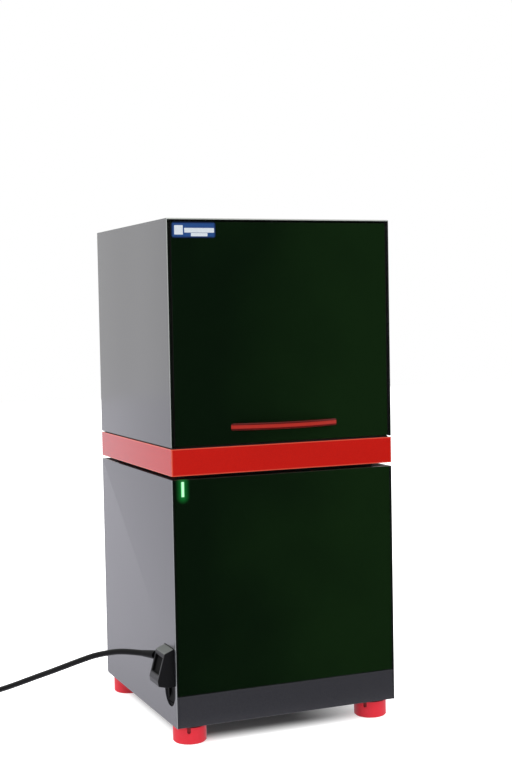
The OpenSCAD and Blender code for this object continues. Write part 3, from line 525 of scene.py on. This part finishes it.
low, high = (np.array(v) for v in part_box("filter_wheel"))
middle = (low + high) / 2
wheel_finish, tree = new_finish("anodised_wheel_with_filters")
place = add_node(tree, "TexCoord").outputs["Object"]
centred = add_node(tree, "VectorMath", {0: place, 1: list(middle)}, operation="SUBTRACT").outputs[0]
parts = split(tree, centred)
filter_count = 6
filter_ring = 0.022
filter_r = 0.0069
angle = maths(tree, "ARCTAN2", parts["Y"], parts["X"])
angle = maths(tree, "PINGPONG", angle, math.pi / filter_count)
radius = distance(tree, parts["X"], parts["Y"])
sideways = maths(tree, "MULTIPLY", radius, maths(tree, "SINE", angle))
outwards = maths(tree, "SUBTRACT", radius, filter_ring)
filters = maths(tree, "LESS_THAN", distance(tree, sideways, outwards), filter_r)
coloured = blend(tree, filters, "201f1e", "5b3f9c")
shaded(tree, Base_Color=coloured, Metallic=0.6, Roughness=0.3)
dress(wheel_finish, "filter_wheel")


# Casing screws: eight button heads of black zinc steel in the rear wall, each with a hexagon socket.
# The heads are cold formed, so they are smooth domes with a sharp recess.
black_zinc, tree = new_finish("black_zinc_steel")
place = add_node(tree, "TexCoord").outputs["Object"]
patches = noise(tree, place, 600.0, 3.0)
shaded(tree, Base_Color=two_tone(tree, patches, "242427", "36363a"), Metallic=0.9, Roughness=0.35)
dress(black_zinc, "casing_screws")
rear_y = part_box("hood")[1][1]
screw_x = 0.122
screw_heights = (0.035, 0.2835, 0.347, 0.570)
outline = np.array([0.0001, 1.3, 1.5, 1.5, 2.0, 2.6, 2.95, 3.2, 3.2]) * 0.001
rise = np.array([0.2, 0.2, 0.3, 1.5, 1.45, 1.2, 0.8, 0.3, 0.05])[:, None] * 0.001
in_socket = np.array([1, 1, 1, 1, 0, 0, 0, 0, 0])[:, None]
socket_size = 0.9
turn = np.linspace(0, 2 * np.pi, 24, endpoint=False)
corner = np.cos((turn + np.pi / 6) % (np.pi / 3) - np.pi / 6)
radius = outline[:, None] * (in_socket * socket_size / corner[None, :] + (1 - in_socket))
for number, (x, z) in enumerate([(side * screw_x, z) for side in (-1, 1) for z in screw_heights]):
    head = np.stack(
        [x + radius * np.cos(turn), rear_y + rise + 0 * turn, z + radius * np.sin(turn)],
        -1,
    )
    fit(ring_mesh(f"button_head_{number}", head, black_zinc), "housing", "zinc_sheet")


# Lower front glass: 4 mm float glass, tinted and lacquered on its back to a green black, edges ground.
# Its face is polished; round the light guide a painted green glow stands for the light that spreads in the
# thickness of the glass.
def dark_pane(name, glow_at=None):
    """Tinted glass, drawn lighter to the right as a painted reflection; near glow_at, a middle and half
    height, a painted green glow.
    """
    made, tree = new_finish(name)
    place = add_node(tree, "TexCoord").outputs["Object"]
    parts = split(tree, place)
    cloud = maths(tree, "MULTIPLY", noise(tree, place, 9.0, 2.0), 0.5)
    # a painted reflection: the tint grows lighter to the right, over random clouds
    tint_and_reflection = maths(tree, "ADD", cloud, maths(tree, "MULTIPLY", parts["X"], 2.0))
    tint_and_reflection = maths(tree, "ADD", tint_and_reflection, 0.25)
    sockets = {"Base_Color": two_tone(tree, tint_and_reflection, "0a170b", "122510"), "Roughness": 0.03, "IOR": 1.52}
    if glow_at:
        x, z, half = glow_at
        glow_end = 0.0085
        glow_start = 0.0012
        dx = maths(tree, "SUBTRACT", parts["X"], x)
        dz = maths(tree, "ABSOLUTE", maths(tree, "SUBTRACT", parts["Z"], z))
        dz = maths(tree, "MAXIMUM", maths(tree, "SUBTRACT", dz, half), 0.0)
        fade = ranged(tree, distance(tree, dx, dz), From_Min=glow_end, From_Max=glow_start)
        shine = maths(tree, "POWER", fade, 1.3)
        sockets["Emission_Color"] = two_tone(tree, shine, "000000", "0e6c2a", 0.0, 1.0)
        sockets["Emission_Strength"] = 1.0
    shaded(tree, **sockets)
    return made


low, high = (np.array(v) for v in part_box("status_light"))
light_x = (low[0] + high[0]) / 2
light_low = 0.2785
light_high = 0.295
light_at = (light_x, (light_low + light_high) / 2, (light_high - light_low) / 2)
lower_pane = dark_pane("dark_glass_round_the_light", light_at)
lower_copy = eased_copy("lower_glass", "lower_front_pane", lower_pane, 0.0009)
fit(lower_copy, "housing", "front_glass", "lower_glass")


# Status light: a bar of clear plastic behind the glass, edge lit by green diodes.
# It is nearly white in the middle and deeper green towards its sides.
guide, tree = new_finish("edge_lit_light_guide")
place = add_node(tree, "TexCoord").outputs["Object"]
bar_half = 0.00175
off = maths(tree, "ABSOLUTE", maths(tree, "SUBTRACT", split(tree, place)["X"], light_x))
bright = two_tone(tree, ranged(tree, off, From_Max=bar_half), "cdffd6", "5be484", 0.5, 1.0)
shaded(
    tree,
    Base_Color=linear("30503a"),
    Roughness=0.3,
    Emission_Color=bright,
    Emission_Strength=1.0,
)
dress(guide, "status_light")


# Door glass: the same dark glass, glued on the door frame, with all its edges ground.
# It covers the whole hood front and swings up with the grip strip on it.
upper_pane = dark_pane("dark_glass")
fit(eased_copy("door_glass", "door_pane", upper_pane, 0.0005), "door", "front_glass", "door_glass")


# Asset label: a blue printed film with rounded corners and blank white fields, stuck on the door glass.
# The film is thin and slightly glossy, and its print is even.
def rounded_plate(name, x0, z0, x1, z1, radius, y_back, thickness, material):
    """A flat plate facing -Y: a rectangle with quarter circles at its corners and an eased front edge."""
    per_corner = 7
    quarter = np.linspace(0, np.pi / 2, per_corner)
    centres = [
        (x1 - radius, z1 - radius),
        (x0 + radius, z1 - radius),
        (x0 + radius, z0 + radius),
        (x1 - radius, z0 + radius),
    ]
    turn = np.concatenate([quarter + k * np.pi / 2 for k in range(4)])
    middle = np.repeat(np.array(centres), per_corner, axis=0)
    loops = []
    for depth, shrink in ((0.0, 0.0), (0.6, 0.0), (1.0, 0.4)):
        away = (radius - shrink * thickness) * np.stack([np.cos(turn), np.sin(turn)], -1)
        y = np.full(len(turn), y_back - depth * thickness)
        loops.append(np.column_stack([middle[:, 0] + away[:, 0], y, middle[:, 1] + away[:, 1]]))
    return ring_mesh(name, np.array(loops), material)


film, tree = new_finish("blue_printed_film")
place = add_node(tree, "TexCoord").outputs["Object"]
print_dots = noise(tree, place, 1500.0, 1.0)
label = (-0.1306, 0.5624, -0.0790, 0.5798)
parts = split(tree, place)
off_x = maths(tree, "ABSOLUTE", maths(tree, "SUBTRACT", parts["X"], (label[0] + label[2]) / 2))
off_z = maths(tree, "ABSOLUTE", maths(tree, "SUBTRACT", parts["Z"], (label[1] + label[3]) / 2))
border_width = 0.0014
near_side = maths(tree, "GREATER_THAN", off_x, (label[2] - label[0]) / 2 - border_width)
near_level = maths(tree, "GREATER_THAN", off_z, (label[3] - label[1]) / 2 - border_width)
border = maths(tree, "MAXIMUM", near_side, near_level)
blue = blend(tree, border, two_tone(tree, print_dots, "1a4684", "225296"), "0a2654")
shaded(tree, Base_Color=blue, Roughness=0.3)
white_print, tree = new_finish("white_print")
place = add_node(tree, "TexCoord").outputs["Object"]
print_dots = noise(tree, place, 1500.0, 1.0)
shaded(tree, Base_Color=two_tone(tree, print_dots, "d4dee8", "e6eef4"), Roughness=0.35)
pane_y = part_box("door_glass")[0][1]
label_radius = 0.0032
glue_depth = 0.00002
label_thickness = 0.00017
plate = rounded_plate("asset_label", *label, label_radius, pane_y + glue_depth, label_thickness, film)
fit(plate, "door", "front_glass")
field_radius = 0.0004
field_y = pane_y - 0.00014
field_thickness = 0.00006
for number, (x0, z0, x1, z1) in enumerate(
    [(3.4, 3.6, 13.4, 13.8), (15.0, 5.8, 49.8, 10.9), (22.6, 1.8, 42.0, 5.4)]
):
    lower_left = (label[0] + 0.001 * x0, label[1] + 0.001 * z0)
    upper_right = (label[0] + 0.001 * x1, label[1] + 0.001 * z1)
    corners = (*lower_left, *upper_right)
    piece = f"label_field_{number}"
    field = rounded_plate(piece, *corners, field_radius, field_y, field_thickness, white_print)
    fit(field, "door", "front_glass")


# Mains connector and plug: soft black PVC, moulded round the cores in one shot.
# The skin is satin with a faint orange peel and dull in the finger recess; the recess is drawn near black
# as painted shade, and the top light grey as a painted highlight.
# The plug's blades and earth pin are nickel-plated brass.
pvc, tree = new_finish("moulded_black_pvc")
place = add_node(tree, "TexCoord").outputs["Object"]
drag = noise(tree, place, 500.0, 2.0)
skin = bumps(tree, drag, 0.25, 0.00006)
# shoulder: the upper edge of the slanted outer face; down: its direction; all in X and Z
shoulder = (-0.1465, 0.1045)
down = (-0.2726, -0.9621)
middle_y = -0.1065
recess_run = 0.01475
recess_half_run = 0.0105
recess_half_width = 0.0123
recess_shallow = -0.0006
recess_deep = -0.0016
roof_drop = 0.0006
roof_half_width = 0.0149
parts = split(tree, place)
side_x = maths(tree, "SUBTRACT", parts["X"], shoulder[0])
side_z = maths(tree, "SUBTRACT", parts["Z"], shoulder[1])
depth_x = maths(tree, "MULTIPLY", side_x, down[1])
depth = maths(tree, "ADD", depth_x, maths(tree, "MULTIPLY", side_z, -down[0]))
run_x = maths(tree, "MULTIPLY", side_x, down[0])
run = maths(tree, "ADD", run_x, maths(tree, "MULTIPLY", side_z, down[1]))
run = maths(tree, "ABSOLUTE", maths(tree, "SUBTRACT", run, recess_run))
across = maths(tree, "ABSOLUTE", maths(tree, "SUBTRACT", parts["Y"], middle_y))
# painted shade: the finger recess is drawn near black, and rougher
shaded_recess = ranged(tree, depth, From_Min=recess_shallow, From_Max=recess_deep)
for value, limit in ((across, recess_half_width), (run, recess_half_run)):
    shaded_recess = maths(tree, "MULTIPLY", shaded_recess, maths(tree, "LESS_THAN", value, limit))
# painted highlight: the top is drawn light grey where it faces the light above
above = maths(tree, "GREATER_THAN", parts["Z"], shoulder[1] - roof_drop)
lit_roof = maths(tree, "MULTIPLY", above, maths(tree, "LESS_THAN", across, roof_half_width))
colour = blend(tree, lit_roof, two_tone(tree, drag, "18181b", "222225"), "666a67")
shaded(
    tree,
    Base_Color=blend(tree, shaded_recess, colour, "030304"),
    Roughness=ranged(tree, shaded_recess, To_Min=0.36, To_Max=0.9),
    IOR=1.4,
    Normal=skin,
)
connector = eased_copy("mains_connector", "connector_body", pvc, 0.0012, 3)
fit(connector, "housing", "black_moulding", "mains_connector")

plug_finish, tree = new_finish("black_pvc_and_nickel_blades")
place = add_node(tree, "TexCoord").outputs["Object"]
drag = noise(tree, place, 500.0, 2.0)
blades_end = 0.0868
blades = maths(tree, "LESS_THAN", split(tree, place)["Y"], blades_end)
black = two_tone(tree, drag, "0d0d0f", "18181b")
shaded(
    tree,
    Base_Color=blend(tree, blades, black, "c9c6bd"),
    Metallic=blades,
    Roughness=0.3,
)
dress(plug_finish, "mains_plug")


# Mains lead: three cores in a round black PVC sheath, 6.8 mm thick and 1.7 m long, extruded smooth.
# It sags from the connector to the table, runs back, and its spare length is wound into a neat coil.
cord_r = 0.0034
run_points = 0.001 * np.array(
    [
        [-155.5, -73.7, 95.9],
        [-161, -64.3, 95.2],
        [-168.5, -51.5, 94.1],
        [-176, -39, 92.2],
        [-184.5, -25, 88.4],
        [-195.5, -8, 82.5],
        [-207, 9, 74.5],
        [-220, 31, 64],
        [-233, 53, 53.5],
        [-246, 76, 43],
        [-260, 99, 32],
        [-272, 120, 22.5],
        [-284, 141, 14],
        [-296, 161, 8],
        [-308, 180, 4.8],
        [-322, 199, 3.8],
    ]
)
tail_points = 0.001 * np.array(
    [
        [-401.7, 160, 10.5],
        [-401.7, 150, 11.2],
        [-401.7, 140, 11.8],
        [-401.7, 131, 12],
    ]
)
coil_at = (-0.3559, 0.1682)
coil_middle_r = 0.039


def smooth_curve(points, steps):
    """A Catmull-Rom curve: cubic spans, the slope at a point being half the way between its neighbours."""
    near = np.vstack([points[:1], points, points[-1:]])
    a, b, c, d = near[:-3, None], near[1:-2, None], near[2:-1, None], near[3:, None]
    t = (np.arange(steps) / steps)[None, :, None]
    bend = (2 * a - 5 * b + 4 * c - d) * t**2
    twist = (3 * b - a - 3 * c + d) * t**3
    span = 2 * b + (c - a) * t + bend + twist
    return np.vstack([0.5 * span.reshape(-1, 3), points[-1:]])


def coil_curve(start, stop, steps_per_turn):
    """A wound coil: the angle grows evenly; radius and height follow the turn that lies there.
    Three turns go in beside each other on the table, then three go out on top of them."""
    angle = np.linspace(start, stop, int((stop - start) / 360 * steps_per_turn))
    gap = 0.00004
    off_table = 0.0002
    cross_over = 40
    pitch = 2 * cord_r + gap
    radius = np.full(len(angle), coil_middle_r + pitch)
    height = np.full(len(angle), cord_r + off_table)
    for at, inwards, upwards in ((337, 1, 0), (657, 1, 0), (977, 0, 1), (1297, -1, 0), (1617, -1, 0)):
        part = np.clip((angle - at) / cross_over, 0, 1)
        part = part * part * (3 - 2 * part)
        radius -= pitch * part * inwards
        height += pitch * part * upwards
    turn = np.radians(angle)
    x = coil_at[0] + radius * np.cos(turn)
    y = coil_at[1] + radius * np.sin(turn)
    return np.stack([x, y, height], 1)


def tube_rings(line, radius, sides):
    """Rings of points about a line, each square to it: the ring turns about the line's own direction."""
    along = np.gradient(line, axis=0)
    along /= np.linalg.norm(along, axis=1, keepdims=True)
    across = np.cross([0.0, 0.0, 1.0], along)
    across /= np.linalg.norm(across, axis=1, keepdims=True)
    up = np.cross(along, across)
    turn = np.linspace(0, 2 * np.pi, sides, endpoint=False)[None, :, None]
    return line[:, None] + radius * (np.cos(turn) * across[:, None] + np.sin(turn) * up[:, None])


coil_start = 42.2
coil_stop = 1980
coil_points = coil_curve(coil_start, coil_stop, 30)
cord_line = np.vstack([smooth_curve(run_points, 2)[:-1], coil_points, smooth_curve(tail_points, 2)])
sheath, tree = new_finish("extruded_black_pvc")
place = add_node(tree, "TexCoord").outputs["Object"]
drag = noise(tree, place, 260.0, 2.0)
skin = bumps(tree, drag, 0.2, 0.00005)
shaded(
    tree,
    Base_Color=two_tone(tree, drag, "070708", "0c0c0e"),
    Roughness=0.3,
    IOR=1.3,
    Specular_IOR_Level=0.3,
    Normal=skin,
)
dress(sheath, "strain_relief")
flex = ring_mesh("mains_flex", tube_rings(cord_line, cord_r, 16), sheath)
fit(flex, "housing", "soft_black", "mains_cord", "cord_coil")


# Stage: a white floor that keeps the soft shadow, and a white room that is dark in front of the instrument.
# The camera alone sees the floor's glow, the room lights the part, and mirrors see both a little greyer.
def soft_step(tree, value, start, stop):
    """0 at start, 1 at stop, and smooth between them."""
    spans = {"Value": value, "From Min": start, "From Max": stop}
    return add_node(tree, "MapRange", spans, interpolation_type="SMOOTHSTEP").outputs["Result"]


floor_mesh = bpy.data.meshes.new("floor")
side = 6.0
corners = [[-side, -side, 0.0], [side, -side, 0.0], [side, side, 0.0], [-side, side, 0.0]]
floor_mesh.from_pydata(corners, [], [[0, 1, 2, 3]])
floor = bpy.data.objects.new("floor", floor_mesh)
bpy.context.scene.collection.objects.link(floor)
paper, tree = new_finish("white_paper_floor")
place = add_node(tree, "TexCoord").outputs["Object"]
ray = add_node(tree, "LightPath").outputs
parts = split(tree, place)
# behind: how much of the floor mirrors see, none in front; below the instrument the floor is drawn darker
# and without its glow, a painted shadow
behind = soft_step(tree, parts["Y"], -0.24, -0.1)
under = soft_step(tree, parts["X"], -0.13, -0.1)
for axis, start, stop in (("X", 0.18, 0.02), ("Y", -0.14, -0.09), ("Y", 0.14, 0.09)):
    edge = soft_step(tree, parts[axis], start, stop)
    under = maths(tree, "MULTIPLY", under, edge)
grey = ranged(tree, under, To_Min=0.86, To_Max=0.6)
grey = add_node(tree, "CombineXYZ", {0: grey, 1: grey, 2: grey}).outputs[0]
matt = add_node(tree, "BsdfDiffuse", {"Color": grey}).outputs[0]
open_floor = ranged(tree, under, To_Min=0.94, To_Max=0.0)
for_camera = maths(tree, "MULTIPLY", ray["Is Camera Ray"], open_floor)
glow = add_node(tree, "Emission", {"Strength": for_camera}).outputs[0]
plain = add_node(tree, "AddShader", {0: matt, 1: glow}).outputs[0]
# painted shade: the floor that mirrors see is drawn darker near the instrument's left side
near_side = ranged(tree, soft_step(tree, parts["X"], -0.24, -0.15), To_Min=0.9, To_Max=0.76)
behind = maths(tree, "MULTIPLY", behind, near_side)
mirrored = add_node(tree, "Emission", {"Color": (1.0, 0.99, 1.08, 1.0), "Strength": behind}).outputs[0]
mixed = add_node(tree, "MixShader", {0: ray["Is Glossy Ray"], 1: plain, 2: mirrored}).outputs[0]
add_node(tree, "OutputMaterial", {"Surface": mixed})
floor_mesh.materials.append(paper)

room = bpy.data.worlds.new("studio")
bpy.context.scene.world = room
room.use_nodes = True
tree = room.node_tree
tree.nodes.clear()
# behind: how much of the room mirrors see: none in front, all on the far left, a little less elsewhere
way = add_node(tree, "TexCoord").outputs["Generated"]
ray = add_node(tree, "LightPath").outputs
parts = split(tree, way)
behind = soft_step(tree, parts["Y"], -0.7, -0.4)
sideways = ranged(tree, soft_step(tree, parts["X"], -0.275, -0.33), To_Min=0.76, To_Max=1.0)
behind = maths(tree, "MULTIPLY", behind, sideways)
pure_white = (1.0, 1.0, 1.0, 1.0)
plain = add_node(tree, "Background", {"Color": pure_white, "Strength": 0.92}).outputs[0]
white = add_node(tree, "Background", {"Color": pure_white, "Strength": 1.0}).outputs[0]
mirrored = add_node(tree, "Background", {"Color": pure_white, "Strength": behind}).outputs[0]
in_gloss = add_node(tree, "MixShader", {0: ray["Is Glossy Ray"], 1: plain, 2: mirrored}).outputs[0]
in_view = maths(tree, "MAXIMUM", ray["Is Camera Ray"], ray["Is Transmission Ray"])
seen = add_node(tree, "MixShader", {0: in_view, 1: in_gloss, 2: white}).outputs[0]
add_node(tree, "OutputWorld", {"Surface": seen})


def soft_lamp(name, place, target, size, power):
    """A square area lamp at a place, turned to shine at the target and unseen in mirrors."""
    data = bpy.data.lights.new(name, "AREA")
    data.size = size
    data.energy = power
    made = bpy.data.objects.new(name, data)
    bpy.context.scene.collection.objects.link(made)
    away = np.array(place) - np.array(target)
    away /= np.linalg.norm(away)
    across = np.cross([0.0, 1.0, 0.0], away)
    across /= np.linalg.norm(across)
    turned = np.eye(4)
    turned[:3, :3] = np.stack([across, np.cross(away, across), away], 1)
    turned[:3, 3] = place
    made.matrix_world = Matrix(turned.tolist())
    made.visible_glossy = False
    made.visible_camera = False


soft_lamp("ceiling_light", (-0.4, 0.2, 2.6), (0.0, 0.0, 0.2), 2.2, 26.0)
bpy.context.scene.view_settings.view_transform = "Standard"

# the camera stands to the front left, where the photo's edges put it, tipped down and rolled a little
camera_at = [-0.6192, -1.53475, 0.4794]
yaw, pitch, roll = np.radians([22.60, 2.997, -1.07])
ahead = np.array([np.sin(yaw) * np.cos(pitch), np.cos(yaw) * np.cos(pitch), -np.sin(pitch)])
right = np.array([np.cos(yaw), -np.sin(yaw), 0.0])
up = np.cross(right, ahead)
lens = bpy.data.cameras.new("camera")
sensor_mm = 36.0
picture_height = 768
focal_pixels = 1361
lens.sensor_width = sensor_mm
lens.lens = focal_pixels / picture_height * sensor_mm
camera = bpy.data.objects.new("camera", lens)
bpy.context.scene.collection.objects.link(camera)
turned = np.eye(4)
turned[:3, 0] = np.cos(roll) * right + np.sin(roll) * up
turned[:3, 1] = np.cos(roll) * up - np.sin(roll) * right
turned[:3, 2] = -ahead
turned[:3, 3] = camera_at
camera.matrix_world = Matrix(turned.tolist())
bpy.context.scene.camera = camera
